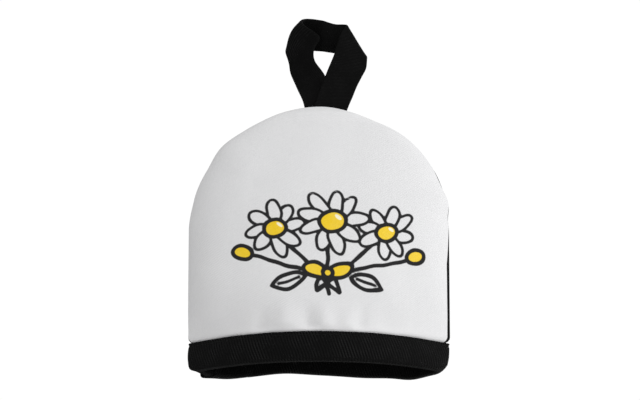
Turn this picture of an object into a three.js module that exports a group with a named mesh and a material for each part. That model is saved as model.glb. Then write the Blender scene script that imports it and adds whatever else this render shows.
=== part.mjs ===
// Egg cosy: a domed cloth cover of two panels, a bound hem and a folded hanging loop of woven tape.
// Millimetres, +Z up. The pale front panel faces -Y, and the bound hem stands flat on Z = 0.
import * as THREE from "three";
import { mergeVertices } from "three/addons/utils/BufferGeometryUtils.js";

const { clamp, degToRad, smoothstep } = THREE.MathUtils;

// Driving dimensions of the dome
const HALF_WIDTH = 53.7;
const BODY_HEIGHT = 113.5;
const ARCH_HEIGHT = 48;
const ARCH_POWER = 1.9;
const FRONT_DEPTH = 22.5;
const BACK_DEPTH = 15.5;
const FULLEST_HEIGHT = 32;
const HEM_DRAWN_IN = { depth: 0.08, side: 1, sideFull: 11.5, sideNone: 14.5 };
const SEAM_PLANE_Y = 3.9;
const SPRING_HEIGHT = BODY_HEIGHT - ARCH_HEIGHT;

// The level section is a superellipse, pointed at the two side seams and full at front and back.
const SECTION_POWER_X = 2.1;
const FRONT_POWERS = [
  { height: 0, power: 1.13 },
  { height: 13, power: 1 },
  { height: 40, power: 2.2 },
];
const BACK_POWERS = [
  { height: 0, power: 1.47 },
  { height: 50, power: 1.6 },
];
const DEPTH_POWER = 2;
const CROWN_POWER = 1.2;

// Small departures of the front outline from the plain arch, outwards in millimetres, by the
// direction in degrees from a middle on the straight part's axis
const OUTLINE_MIDDLE = 60;
const OUTLINE_GIVE = [
  { direction: 0, out: 0 },
  { direction: 5, out: -0.4 },
  { direction: 12, out: 0.45 },
  { direction: 20, out: -0.35 },
  { direction: 30, out: -0.1 },
  { direction: 46, out: 0.15 },
  { direction: 70, out: -1 },
  { direction: 88, out: -0.3 },
  { direction: 112, out: -0.6 },
  { direction: 125, out: -0.6 },
  { direction: 138, out: 0.05 },
  { direction: 152, out: -1.4 },
  { direction: 167, out: -1.2 },
  { direction: 180, out: 0 },
];

// Padded cloth: insets are measured inwards from the outer skin, and grow towards the slanting seams.
const PANEL_WALL = 2.4;
const BOUND_WALL = { outer: 0.76, inner: 1.64 };
const SEAM_SLANT = 1.7;
const SEAM_HALF_GAP = 0.18;

// Hem binding: one tape folded round the lower edge of both panels
const BINDING_HEIGHT = 12;
const BINDING_THICKNESS = 0.6;
const BINDING_OUTSIDE = -0.45;
const BINDING_INSIDE = 2.85;
const BINDING_ROUNDING = 0.4;
const PANEL_FOOT = 1.4;
const SHOULDER = { start: BINDING_HEIGHT + 0.4, end: BINDING_HEIGHT + 0.55 };
const TIP_LIFT = { right: { rise: 2, start: 0.9 }, left: { rise: 0.8, start: 0.92 } };
const RIGHT_TIP_SLANT = 0.6;

// Crown opening between the panels, where the two ends of the loop are held
const CROWN_SLOT = { halfGap: 1.7, start: degToRad(60), full: degToRad(72) };

// The back panel's edge turns a little round to the front at the right seam, unevenly.
const SEAM_TURNS = [
  { height: 0, turn: 8 },
  { height: 14, turn: 11 },
  { height: 44, turn: 11 },
  { height: 60, turn: 3 },
  { height: 72, turn: 3 },
  { height: 82, turn: 8 },
  { height: 94, turn: 3 },
  { height: 100, turn: 0 },
];

// Soft dents and swellings: x is the place, rise is outwards, and each fades in from start to full
// and out again at end. The lean moves it sideways by that much for each millimetre of height.
const FRONT_WAVES = [
  { x: -24, width: 5, rise: -0.8, start: 12.6, full: 15, end: 27, lean: 0.1 },
  { x: -14, width: 4.5, rise: 0.9, start: 12.6, full: 16, end: 29, lean: 0 },
  { x: -4.4, width: 4, rise: -1, start: 12.6, full: 15, end: 26, lean: 0 },
  { x: 2.5, width: 4, rise: 0.8, start: 12.6, full: 16, end: 27, lean: 0 },
  { x: 12, width: 4, rise: 0.6, start: 12.6, full: 15, end: 25, lean: 0 },
  { x: 17, width: 3.5, rise: -0.8, start: 12.6, full: 15, end: 25, lean: 0.1 },
  { x: 36, width: 8, rise: -0.9, start: 18, full: 40, end: 62, lean: -0.3 },
];
const BACK_WAVES = [
  { x: -14, width: 13, rise: -10, start: -1, full: 0, end: 62, lean: 0 },
  { x: 5, width: 13, rise: -5.5, start: -1, full: 0, end: 62, lean: 0 },
  { x: -41, width: 8.5, rise: 8, start: -1, full: 0, end: 40, lean: 0 },
  { x: -50, width: 5, rise: 14, start: -1, full: 0, end: 34, lean: 0 },
  { x: 39, width: 7, rise: 8.5, start: -1, full: 0, end: 40, lean: 0 },
];

// Hanging loop: one tape that leaves the seam leaning right, creases sharply at its right shoulder,
// runs left, rolls over softly and comes down again behind its own start.
const TAPE_WIDTH = 13;
const TAPE_THICKNESS = 1;
const LEG_LEAN = degToRad(22.1);
const RIGHT_LEG = 34.4;
const TOP_RUN = 23.7;
const LEFT_LEG = 44.6;
const RIGHT_CREASE = { x: 15.4, z: 140.9, lean: degToRad(-30.7), radius: 0.95, turn: degToRad(157) };
const LEFT_ROLL = { lean: degToRad(35), radius: 3.4, turn: degToRad(176) };
const RIGHT_LEG_Y = -0.85;
const LEFT_LEG_Y = 0.85;

// Softer shaping of the loop in its place: both legs bend upright below a height, the seam grips
// them flat, and the top left corner is drawn up.
const LEG_BEND = { below: 130.8, span: 14, right: 0.6, left: -1.5 };
const SEAM_GRIP = { full: BODY_HEIGHT + 0.5, none: BODY_HEIGHT + 10.5 };
const CORNER_LIFT = { rise: 2.1, fullX: -3, noneX: 9, startZ: 130, fullZ: 144 };

// Where the soft tape gives sideways in its own plane: the top left bulges out round, the eye's
// left side bows, the right leg's outer edge swells and the top edge rises at its right end.
const TAPE_GIVE = [
  { x: -8.9, z: 146.2, reach: 6.1, right: -1.75, up: 1.6 },
  { x: -2.1, z: 133.7, reach: 5, right: -1.6, up: -0.45 },
  { x: 17.9, z: 126.5, reach: 6, right: 1.3, up: 0 },
  { x: 7.8, z: 143.1, reach: 7, right: -0.4, up: 1.35 },
  { x: -13.5, z: 136.2, reach: 4, right: 1.2, up: 0 },
  { x: 19.5, z: 130.8, reach: 3.5, right: 0.8, up: -0.6 },
  { x: 14.3, z: 118, reach: 4.5, right: 0.55, up: 0 },
  { x: 6.6, z: 134.3, reach: 4, right: 0.55, up: 0.9 },
  { x: -3.9, z: 148.5, reach: 3.5, right: 0, up: 0.45 },
];

// The left roll's front swells to the right over the top run, from start to full along the tape.
const ROLL_SWELL = { x: -4.2, z: 145.6, reach: 4.8, right: 5.6, up: -0.3, start: 60.5, full: 65.5 };

// How finely the surfaces are divided
const STRAIGHT_HEIGHTS = [14.5, 17.5, 21, 25.5, 31, 38, 46, 55];
const FRONT_COLUMNS = 40;
const BACK_COLUMNS = 60;
const ARCH_ROWS = 11;
const ARCH_ROW_EASE = 0.3;
const BINDING_COLUMNS = 68;
const TAPE_COLUMNS = 5;

// Colours and surfaces
const WHITE_CLOTH = { color: 0xe4e4e4, roughness: 0.92, metalness: 0 };
const BLACK_CLOTH = { color: 0x151515, roughness: 0.9, metalness: 0 };
const BLACK_TAPE = { color: 0x101010, roughness: 0.75, metalness: 0 };

// Raises the size of a number to a power and keeps its sign.
function signedPower(value, power) {
  return Math.sign(value) * Math.abs(value) ** power;
}

// A value from a table, eased from one row to the next and held beyond its ends
function readTable(rows, key, name, at) {
  const next = rows.findIndex((row) => row[key] > at);
  if (next === -1) return rows.at(-1)[name];
  if (next === 0) return rows[0][name];
  const below = rows[next - 1];
  const above = rows[next];
  return below[name] + (above[name] - below[name]) * smoothstep(at, below[key], above[key]);
}

// The turn of the right seam at a height
function turnAt(height) {
  return degToRad(readTable(SEAM_TURNS, "height", "turn", height));
}

// Sums the dents and swellings at one place of the cloth.
function waveAt(waves, x, z) {
  let total = 0;
  for (const wave of waves) {
    const middle = wave.x + wave.lean * (z - wave.full);
    const fade = smoothstep(z, wave.start, wave.full) * (1 - smoothstep(z, wave.full, wave.end));
    total += wave.rise * fade * Math.exp(-(((x - middle) / wave.width) ** 2));
  }
  return total;
}

// A level of the dome is a height below the spring of the arch, or an angle of sweep above it.
function levelSize(level, inset) {
  const shrink = SEAM_SLANT * inset;
  const rise = Math.sin(level.sweep) ** (2 / ARCH_POWER);
  const across = Math.cos(level.sweep) ** (2 / ARCH_POWER);
  const { side, sideFull, sideNone } = HEM_DRAWN_IN;
  const drawnIn = side * (1 - smoothstep(level.height, sideFull, sideNone));
  return {
    z: level.height + (ARCH_HEIGHT - shrink) * rise,
    halfWidth: (HALF_WIDTH - shrink - drawnIn) * across,
  };
}

// Half the depth of the dome at a height, for the front (positive side) or the back.
function depthAt(z, inset, side) {
  const low = clamp((FULLEST_HEIGHT - z) / FULLEST_HEIGHT, 0, 1);
  const top = BODY_HEIGHT - SEAM_SLANT * inset;
  const up = clamp((z - FULLEST_HEIGHT) / (top - FULLEST_HEIGHT), 0, 1);
  const full = (side > 0 ? FRONT_DEPTH : BACK_DEPTH) * (1 - HEM_DRAWN_IN.depth * low ** 2) - inset;
  return full * (1 - up ** DEPTH_POWER) ** (1 / CROWN_POWER);
}

// The side tips of the hem curl up a little from the floor, and the right one slants inwards below.
function shapeTip(point) {
  const { rise, start } = point.x > 0 ? TIP_LIFT.right : TIP_LIFT.left;
  const tip = HALF_WIDTH - HEM_DRAWN_IN.side;
  const out = clamp((Math.abs(point.x) / tip - start) / (1 - start), 0, 1.1);
  const share = out ** 2 * clamp(1 - point.z / BINDING_HEIGHT, 0, 1);
  if (point.x > 0) point.x -= RIGHT_TIP_SLANT * share;
  point.z += rise * share;
  return point;
}

// Moves a point of the outline outwards or inwards by the table's give for its direction.
function giveOutline(point) {
  const rise = Math.max(point.z - OUTLINE_MIDDLE, 0);
  const direction = Math.atan2(rise, point.x);
  const reach = Math.hypot(rise, point.x);
  const out = readTable(OUTLINE_GIVE, "direction", "out", THREE.MathUtils.radToDeg(direction));
  const share = out * smoothstep(reach, 15, 45);
  point.x += share * Math.cos(direction);
  point.z += share * Math.sin(direction);
  return point;
}

// A point of the dome. The angle is 0 at the right seam, runs over the front to pi at the left
// seam, and is negative over the back.
function domePoint(level, angle, inset) {
  const side = angle > 0 ? 1 : -1;
  const { z, halfWidth } = levelSize(level, inset);
  const around = Math.abs(Math.sin(angle));
  const x = halfWidth * signedPower(Math.cos(angle), 2 / SECTION_POWER_X);
  const waves = waveAt(side > 0 ? FRONT_WAVES : BACK_WAVES, x, z);
  const power = readTable(side > 0 ? FRONT_POWERS : BACK_POWERS, "height", "power", z);
  const out = depthAt(z, inset, side) * around ** (2 / power) + around * waves;
  return shapeTip(giveOutline(new THREE.Vector3(x, SEAM_PLANE_Y - side * out, z)));
}

// Levels of a panel from its foot inside the binding to the crown, each with its two insets
function panelLevels() {
  const bound = { sweep: 0, outer: BOUND_WALL.outer, inner: BOUND_WALL.inner };
  const open = { sweep: 0, outer: 0, inner: PANEL_WALL };
  const levels = [
    { ...bound, height: PANEL_FOOT },
    { ...bound, height: BINDING_HEIGHT / 2 },
    { ...bound, height: SHOULDER.start },
    { ...open, height: SHOULDER.end },
  ];
  for (const height of STRAIGHT_HEIGHTS) levels.push({ ...open, height });
  for (let row = 0; row <= ARCH_ROWS; row += 1) {
    const share = row / ARCH_ROWS;
    const sweep = (Math.PI / 2) * ((1 + ARCH_ROW_EASE) * share - ARCH_ROW_EASE * share ** 2);
    levels.push({ ...open, height: SPRING_HEIGHT, sweep });
  }
  return levels;
}

// Half the gap to the other panel: narrow along the seam, wider where the crown holds the tape
function seamGap(level, angle) {
  const slot = smoothstep(level.sweep, CROWN_SLOT.start, CROWN_SLOT.full);
  const narrow = SEAM_HALF_GAP * Math.cos(angle) ** 4;
  return narrow + (CROWN_SLOT.halfGap - narrow) * slot;
}

// Turns quads into a closed body with its faces outwards. Points that coincide become one, and
// faces that shrink to nothing there are dropped.
function bodyFromQuads(quads) {
  const positions = [];
  for (const [a, b, c, d] of quads) {
    for (const corner of [a, b, c, a, c, d]) {
      positions.push(corner.x, corner.y, corner.z);
    }
  }
  const soup = new THREE.BufferGeometry();
  soup.setAttribute("position", new THREE.Float32BufferAttribute(positions, 3));
  const merged = mergeVertices(soup, 1e-4);
  const spots = merged.getAttribute("position");
  const faces = [];
  let volume = 0;
  for (let at = 0; at < merged.index.count; at += 3) {
    const corners = [0, 1, 2].map((step) => merged.index.getX(at + step));
    if (new Set(corners).size < 3) continue;
    const [a, b, c] = corners.map((corner) => new THREE.Vector3().fromBufferAttribute(spots, corner));
    volume += a.dot(b.cross(c)) / 6;
    faces.push(corners);
  }
  merged.setIndex(faces.flatMap((corners) => (volume < 0 ? corners.reverse() : corners)));
  merged.computeVertexNormals();
  return merged;
}

// Joins rings of points into a tube, with a flat cover at each end made of facing pairs
function tubeQuads(rings) {
  const quads = [];
  const count = rings[0].length;
  for (let row = 0; row + 1 < rings.length; row += 1) {
    for (let at = 0; at < count; at += 1) {
      const next = (at + 1) % count;
      quads.push([rings[row][at], rings[row][next], rings[row + 1][next], rings[row + 1][at]]);
    }
  }
  const last = rings.length - 1;
  for (let at = 0; at + 1 < count / 2; at += 1) {
    const facing = count - 1 - at;
    quads.push([rings[0][facing], rings[0][facing - 1], rings[0][at + 1], rings[0][at]]);
    quads.push([rings[last][at], rings[last][at + 1], rings[last][facing - 1], rings[last][facing]]);
  }
  return quads;
}

// A panel: outer skin from one seam to the other and inner skin back again, level by level
function panelGeometry(side, columns) {
  const rings = panelLevels().map((level) => {
    const ring = [];
    const start = turnAt(levelSize(level, 0).z);
    const angleAt = (column) => {
      const share = column / columns;
      return side > 0 ? start + (Math.PI - start) * share : start - (Math.PI + start) * share;
    };
    const pointAt = (column, inset) => {
      const angle = angleAt(column);
      const point = domePoint(level, angle, inset);
      point.y -= side * seamGap(level, angle);
      return point;
    };
    for (let column = 0; column <= columns; column += 1) ring.push(pointAt(column, level.outer));
    for (let column = columns; column >= 0; column -= 1) ring.push(pointAt(column, level.inner));
    return ring;
  });
  return bodyFromQuads(tubeQuads(rings));
}

// The binding: a U of tape, open upwards, carried once round the lower edge of both panels
function bindingGeometry() {
  const outerInside = BINDING_OUTSIDE + BINDING_THICKNESS;
  const innerOutside = BINDING_INSIDE - BINDING_THICKNESS;
  const middle = BINDING_HEIGHT / 2;
  const profile = [
    { inset: BINDING_OUTSIDE + BINDING_ROUNDING, height: 0 },
    { inset: BINDING_OUTSIDE, height: BINDING_ROUNDING },
    { inset: BINDING_OUTSIDE, height: middle },
    { inset: BINDING_OUTSIDE, height: BINDING_HEIGHT },
    { inset: outerInside, height: BINDING_HEIGHT },
    { inset: outerInside, height: middle },
    { inset: outerInside, height: BINDING_THICKNESS },
    { inset: innerOutside, height: BINDING_THICKNESS },
    { inset: innerOutside, height: middle },
    { inset: innerOutside, height: BINDING_HEIGHT },
    { inset: BINDING_INSIDE, height: BINDING_HEIGHT },
    { inset: BINDING_INSIDE, height: middle },
    { inset: BINDING_INSIDE, height: BINDING_ROUNDING },
    { inset: BINDING_INSIDE - BINDING_ROUNDING, height: 0 },
  ];
  const columns = 2 * BINDING_COLUMNS;
  const ringAt = (column) => {
    const angle = -Math.PI + (2 * Math.PI * (column % columns)) / columns;
    return profile.map(({ inset, height }) => domePoint({ sweep: 0, height }, angle, inset));
  };
  const quads = [];
  for (let column = 0; column < columns; column += 1) {
    const here = ringAt(column);
    const there = ringAt(column + 1);
    for (let at = 0; at < profile.length; at += 1) {
      const next = (at + 1) % profile.length;
      quads.push([here[at], there[at], there[next], here[next]]);
    }
  }
  return bodyFromQuads(quads);
}

// Rolls whatever lies beyond a crease towards +Y, round a cylinder of the crease's radius.
function rollBeyond(point, crease) {
  const along = new THREE.Vector3(Math.sin(crease.lean), 0, Math.cos(crease.lean));
  const beyond = new THREE.Vector3(Math.cos(crease.lean), 0, -Math.sin(crease.lean));
  const from = point.clone().sub(crease.at);
  const distance = from.dot(beyond);
  const angle = clamp(distance / crease.radius, 0, crease.turn);
  const rest = Math.max(distance - crease.radius * crease.turn, 0) + Math.min(distance, 0);
  const sine = Math.sin(angle);
  const cosine = Math.cos(angle);
  const out = crease.radius * sine + rest * cosine - from.y * sine;
  const back = crease.radius * (1 - cosine) + rest * sine + from.y * cosine;
  return crease.at
    .clone()
    .addScaledVector(along, from.dot(along))
    .addScaledVector(beyond, out)
    .add(new THREE.Vector3(0, back, 0));
}

// A point of the tape from its flat place: along its length, across its width, through its thickness
function loopPoint(length, across, through) {
  const up = new THREE.Vector3(Math.sin(LEG_LEAN), 0, Math.cos(LEG_LEAN));
  const side = new THREE.Vector3(Math.cos(LEG_LEAN), 0, -Math.sin(LEG_LEAN));
  const shoulder = new THREE.Vector3(RIGHT_CREASE.x, 0, RIGHT_CREASE.z);
  const turn = shoulder.clone().addScaledVector(up, TOP_RUN);
  let point = shoulder.clone().addScaledVector(up, length - RIGHT_LEG).addScaledVector(side, across);
  point.y = through;
  point = rollBeyond(point, { ...LEFT_ROLL, at: turn, lean: 2 * RIGHT_CREASE.lean - LEFT_ROLL.lean });
  point = rollBeyond(point, { ...RIGHT_CREASE, at: shoulder });
  const rightLeg = length < RIGHT_LEG + TOP_RUN / 2;
  const low = clamp((LEG_BEND.below - point.z) / LEG_BEND.span, 0, 2) ** 2;
  const left = 1 - smoothstep(point.x, CORNER_LIFT.fullX, CORNER_LIFT.noneX);
  const gripped = 1 - smoothstep(point.z, SEAM_GRIP.full, SEAM_GRIP.none);
  const heldY = (rightLeg ? RIGHT_LEG_Y : LEFT_LEG_Y) + through;
  point.z += CORNER_LIFT.rise * left * smoothstep(point.z, CORNER_LIFT.startZ, CORNER_LIFT.fullZ);
  point.x += (rightLeg ? LEG_BEND.right : LEG_BEND.left) * low;
  point.y = (point.y + RIGHT_LEG_Y) * (1 - gripped) + heldY * gripped + SEAM_PLANE_Y;
  const { x, z } = point;
  for (const give of TAPE_GIVE) {
    const share = Math.exp(-((x - give.x) ** 2 + (z - give.z) ** 2) / give.reach ** 2);
    point.x += give.right * share;
    point.z += give.up * share;
  }
  const apart = (point.x - ROLL_SWELL.x) ** 2 + (point.z - ROLL_SWELL.z) ** 2;
  const along = length - across / Math.tan(2 * RIGHT_CREASE.lean - LEFT_ROLL.lean - LEG_LEAN);
  const share = Math.exp(-apart / ROLL_SWELL.reach ** 2) * smoothstep(along, ROLL_SWELL.start, ROLL_SWELL.full);
  point.x += ROLL_SWELL.right * share;
  point.z += ROLL_SWELL.up * share;
  return point;
}

// The tape's cross lines slant so that they run along the creases. Each key place is its length
// along the tape's middle, the slant there and the number of steps to the next place.
function loopStations() {
  const unrolledRoll = 2 * RIGHT_CREASE.lean - LEFT_ROLL.lean;
  const unrolledEnd = Math.PI / 2 - 2 * (RIGHT_CREASE.lean - unrolledRoll);
  const slantOf = (lean) => 1 / Math.tan(lean - LEG_LEAN);
  const arcOf = (crease, lean) => (crease.radius * crease.turn) / Math.sin(LEG_LEAN - lean);
  const creaseEnd = RIGHT_LEG + arcOf(RIGHT_CREASE, RIGHT_CREASE.lean);
  const rollStart = RIGHT_LEG + TOP_RUN;
  const rollEnd = rollStart + arcOf(LEFT_ROLL, unrolledRoll);
  const keys = [
    { length: 0, slant: slantOf(Math.PI / 2), steps: 9 },
    { length: RIGHT_LEG, slant: slantOf(RIGHT_CREASE.lean), steps: 5 },
    { length: creaseEnd, slant: slantOf(RIGHT_CREASE.lean), steps: 6 },
    { length: rollStart, slant: slantOf(unrolledRoll), steps: 9 },
    { length: rollEnd, slant: slantOf(unrolledRoll), steps: 10 },
    { length: rollStart + LEFT_LEG, slant: slantOf(unrolledEnd), steps: 0 },
  ];
  const stations = [];
  for (let at = 0; at + 1 < keys.length; at += 1) {
    const from = keys[at];
    const to = keys[at + 1];
    for (let step = 0; step < from.steps; step += 1) {
      const share = step / from.steps;
      const length = from.length + (to.length - from.length) * share;
      stations.push({ length, slant: from.slant + (to.slant - from.slant) * share });
    }
  }
  stations.push(keys.at(-1));
  return stations;
}

// The hanging loop: the tape's flat section carried along its stations and over both creases
function loopGeometry() {
  const rings = loopStations().map(({ length, slant }) => {
    const ring = [];
    const pointAt = (column, through) => {
      const across = TAPE_WIDTH * (column / TAPE_COLUMNS - 0.5);
      return loopPoint(length + slant * across, across, through);
    };
    for (let column = 0; column <= TAPE_COLUMNS; column += 1) {
      ring.push(pointAt(column, TAPE_THICKNESS / 2));
    }
    for (let column = TAPE_COLUMNS; column >= 0; column -= 1) {
      ring.push(pointAt(column, -TAPE_THICKNESS / 2));
    }
    return ring;
  });
  return bodyFromQuads(tubeQuads(rings));
}

function piece(name, geometry, look) {
  const mesh = new THREE.Mesh(geometry, new THREE.MeshStandardMaterial(look));
  mesh.name = name;
  return mesh;
}

const cosy = new THREE.Group();
cosy.add(
  piece("front_panel", panelGeometry(1, FRONT_COLUMNS), WHITE_CLOTH),
  piece("back_panel", panelGeometry(-1, BACK_COLUMNS), BLACK_CLOTH),
  piece("hem_band", bindingGeometry(), BLACK_TAPE),
  piece("hanging_loop", loopGeometry(), BLACK_TAPE),
);

export default cosy;
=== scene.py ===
"""Egg cosy: padded dome panels, a bound hem and a folded tape loop, dressed over their solids.

Shape functions work in millimetres and meshes are stored in metres, in the frame's own axes:
the pale front faces -Y, +X is to its right, and the bound hem stands on Z = 0.
"""

import math

import bmesh
import bpy
import numpy as np
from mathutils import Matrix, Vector


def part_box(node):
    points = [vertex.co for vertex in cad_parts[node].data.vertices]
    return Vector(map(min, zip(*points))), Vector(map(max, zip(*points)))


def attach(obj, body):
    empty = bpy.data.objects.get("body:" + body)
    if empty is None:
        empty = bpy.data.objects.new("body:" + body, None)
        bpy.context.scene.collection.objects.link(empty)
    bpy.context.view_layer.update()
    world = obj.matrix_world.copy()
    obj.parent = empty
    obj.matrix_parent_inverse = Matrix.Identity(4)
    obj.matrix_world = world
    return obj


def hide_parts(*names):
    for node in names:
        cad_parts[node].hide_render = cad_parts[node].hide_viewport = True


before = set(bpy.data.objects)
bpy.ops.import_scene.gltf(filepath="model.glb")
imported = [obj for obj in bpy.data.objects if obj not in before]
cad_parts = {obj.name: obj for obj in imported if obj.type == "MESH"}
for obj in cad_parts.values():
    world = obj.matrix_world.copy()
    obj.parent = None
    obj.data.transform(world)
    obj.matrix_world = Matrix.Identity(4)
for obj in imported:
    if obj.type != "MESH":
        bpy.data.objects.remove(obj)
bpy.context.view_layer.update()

MM = 0.001

# Sizes in millimetres: the panel's width, the seam's place and the binding's height read from the frame's
# own solids
FRONT_LOW, FRONT_HIGH = (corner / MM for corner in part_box("front_panel"))
HALF_WIDTH = -FRONT_LOW.x
BODY_HEIGHT = 113.5
SEAM_PROUD = 0.15
SEAM_HALF_GAP = 0.18
SEAM_Y = FRONT_HIGH.y + SEAM_HALF_GAP
BINDING_HEIGHT = (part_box("hem_band")[1] / MM).z

# The dome's section and arch, as in the solids
ARCH_HEIGHT = 48.0
ARCH_POWER = 1.9
SPRING_HEIGHT = BODY_HEIGHT - ARCH_HEIGHT
FRONT_DEPTH = 22.5
BACK_DEPTH = 15.5
FULLEST_HEIGHT = 32.0
HEM_DRAWN_IN = {"depth": 0.08, "side": 1.0, "side_full": 11.5, "side_none": 14.5}
SECTION_POWER_X = 2.1
CROWN_POWER = 1.2
FRONT_POWERS = ((0, 13, 40), (1.13, 1.0, 2.2))
BACK_POWERS = ((0, 50), (1.47, 1.6))

# Departures of the outline from the plain arch: directions in degrees from a middle on the
# dome's axis, and the distance outwards for each, from nothing near the middle to full further out
OUTLINE_MIDDLE = 60.0
OUTLINE_FADE = (15, 45)
OUTLINE_GIVE = (
    (0, 5, 12, 20, 30, 46, 70, 88, 112, 125, 138, 152, 167, 180),
    (0, -0.4, 0.45, -0.35, -0.1, 0.15, -1, -0.3, -0.6, -0.6, 0.05, -1.4, -1.2, 0),
)
SEAM_SLANT = 1.7
PANEL_WALL = 2.4
BOUND_OUTER = 0.76
BOUND_INNER = 1.64
BOUND_ROUNDING = 1.8
SEAM_ROUNDING = 0.5
CROWN_SLOT = {"half_gap": 1.7, "start": math.radians(60), "full": math.radians(72)}

# The hem's side tips, from a share of the way out: how far they rise, and the right one's slant
TIP_RISE = {"right": 2.0, "left": 0.8}
TIP_START = {"right": 0.9, "left": 0.92}
TIP_DRAWN_IN = 0.6
TIP_REACH = 1.1

# Height and turn, in degrees, of the right seam, where the black back comes round to the front
SEAM_TURN_HEIGHTS = [0, 14, 22, 32, 44, 60, 72, 82, 94, 100]
SEAM_TURN_DEGREES = [8, 10.5, 10.3, 11, 11.4, 4, 3, 8, 3, 0]

# Dents and swellings: place across, width, rise outwards, the heights where each starts, is full
# and ends, and how far it leans sideways for each millimetre up
WAVE_COLUMNS = ("x", "width", "rise", "start", "full", "end", "lean")
FRONT_WAVES = [
    (-36.0, 5.0, -0.20, 12.4, 15.0, 26.0, 0.10),
    (-24.0, 3.2, -0.85, 12.4, 14.5, 25.0, 0.14),
    (-14.5, 4.2, 1.10, 12.4, 16.0, 29.0, 0.10),
    (-4.4, 3.2, -1.20, 12.4, 15.0, 26.0, -0.05),
    (2.5, 3.6, 0.95, 12.4, 15.5, 27.0, -0.12),
    (11.5, 3.4, 0.65, 12.4, 15.0, 24.0, 0.10),
    (17.0, 2.8, -0.95, 12.4, 15.0, 26.0, 0.16),
    (27.0, 5.0, -0.40, 12.4, 15.5, 26.0, 0.10),
    (36.0, 8.0, -1.15, 18.0, 40.0, 62.0, -0.30),
    (24.0, 7.0, 0.50, 18.0, 34.0, 50.0, -0.10),
    (-22.0, 9.0, -0.45, 60.0, 84.0, 108.0, 0.30),
    (-34.0, 6.0, 0.35, 55.0, 78.0, 100.0, 0.35),
    (-48.0, 9.0, 2.20, 12.4, 20.0, 84.0, 0.00),
]
BACK_WAVES = [
    (-14.0, 13.0, -10.0, -1.0, 0.0, 62.0, 0.00),
    (5.0, 13.0, -5.5, -1.0, 0.0, 62.0, 0.00),
    (-41.0, 8.5, 8.0, -1.0, 0.0, 40.0, 0.00),
    (-50.0, 5.0, 14.0, -1.0, 0.0, 34.0, 0.00),
    (39.0, 7.0, 8.5, -1.0, 0.0, 40.0, 0.00),
    (14.0, 4.0, -0.70, 12.4, 15.0, 27.0, 0.10),
    (30.0, 4.5, 0.60, 12.4, 16.0, 28.0, 0.00),
]

# Hem binding
TAPE_PLY = 0.6
BINDING_OUTSIDE = -0.45
BINDING_INSIDE = 2.85
LIP_RADIUS = 0.28
FOLD_RADIUS = 0.75
INNER_FOLD = {"radius": 0.3, "height": 1.0, "wall_end": 1.2}
STITCH_HEIGHT = 10.5
STITCH_PITCH = 2.5
STITCH = {"thick": 0.17, "half_length": 0.40, "raised": 0.02, "rings": 7, "sides": 6}

# The binding's outer ply: a low bulge, a groove under the stitches and small puckers
BULGE = {"rise": 0.22, "from": 0.8, "span": 9.6}
GROOVE = {"depth": 0.20, "width": 0.45}
PUCKER = {"rise": 0.10, "start": 6, "full": 11}

# The binding's lapped end, on the back near the left tip: from and to are places across
LAP = {"from_x": -47.4, "to_x": -30.0, "ply": 0.42, "clear": 0.10, "below_lip": 0.35}
LAP_LIFT = {"near": 0.5, "step": 1.3, "before": 0.3, "after": 0.5, "far": 1.0}

# Hanging loop
LOOP_WIDTH = 13.0
LOOP_PLY = 1.0
LEG_LEAN = math.radians(22.1)
RIGHT_LEG = 34.4
TOP_RUN = 23.7
LEFT_LEG = 44.6
SHOULDER = {"x": 15.4, "z": 140.9, "lean": math.radians(-30.7), "radius": 0.95, "turn": math.radians(157)}
LEFT_ROLL = {"lean": math.radians(35), "radius": 3.4, "turn": math.radians(176)}
RIGHT_LEG_Y = -0.85
LEFT_LEG_Y = 0.85
LEG_BEND = {"below": 130.8, "span": 14.0, "right": 0.6, "left": -1.5}
SEAM_GRIP = {"full": BODY_HEIGHT + 0.5, "none": BODY_HEIGHT + 10.5}
CORNER_LIFT = {"rise": 2.1, "full_x": -3.0, "none_x": 9.0, "start_z": 130.0, "full_z": 144.0}

# Where the soft tape gives in its own plane: place across, height, reach, move right, move up
TAPE_GIVE = [
    (-8.9, 146.2, 6.1, -1.75, 1.60),
    (-2.1, 133.7, 5.0, -1.60, -0.45),
    (17.9, 126.5, 6.0, 1.30, 0.00),
    (7.8, 143.1, 7.0, -0.40, 1.35),
    (-13.5, 136.2, 4.0, 1.20, 0.00),
    (19.5, 130.8, 3.5, 0.80, -0.60),
    (14.3, 118.0, 4.5, 0.55, 0.00),
    (6.6, 134.3, 4.0, 0.55, 0.90),
    (-3.9, 148.5, 3.5, 0.00, 0.45),
]

# The left leg turns to the left about its inner edge, whose place is given at one height
LEG_TURN = {"amount": 0.30, "inner_x": -1.1, "at_z": 135.5, "lean": -0.32, "none_z": 114.0, "full_z": 127.0}
LEG_TURN_ALONG = (66.0, 74.0)

# Folds down the top run: place across, width, and how far each goes back, and the lengths along
# the tape where they start and end
RUN_FOLDS = [(1.3, 2.4, -0.9), (7.2, 2.2, 0.6)]
RUN_FOLDS_START = (36.0, 42.0)
RUN_FOLDS_END = (54.0, 60.0)

# The left roll's front swells over the top run behind it
ROLL_SWELL = {"x": -4.2, "z": 145.6, "reach": 4.8, "right": 5.6, "up": -0.3, "start": 60.5, "full": 65.5}

# The tape's own surface: thicker at its selvedges, with a slow ripple along it
SELVEDGE = {"thicker": 0.10, "from_edge": 1.6, "full_from_edge": 0.9}
RIPPLE = {"rise": 0.12, "length": 5.0, "slant": 0.25, "start": 4, "full": 12}

# Mesh steps
SEAM_STEPS = 4001
HEM_STEPS = 8001
STITCH_STEPS = 4000
BINDING_STEPS = 560
LAP_STEPS = 48
SAME_POINT = 1e-7
SHARP_ANGLE = math.radians(60)


# Shapes


def ease(value, start, end):
    """0 up to start, 1 from end on, and 3t^2 - 2t^3 between them."""
    share = np.clip((value - start) / (end - start), 0, 1)
    return share * share * (3 - 2 * share)


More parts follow.
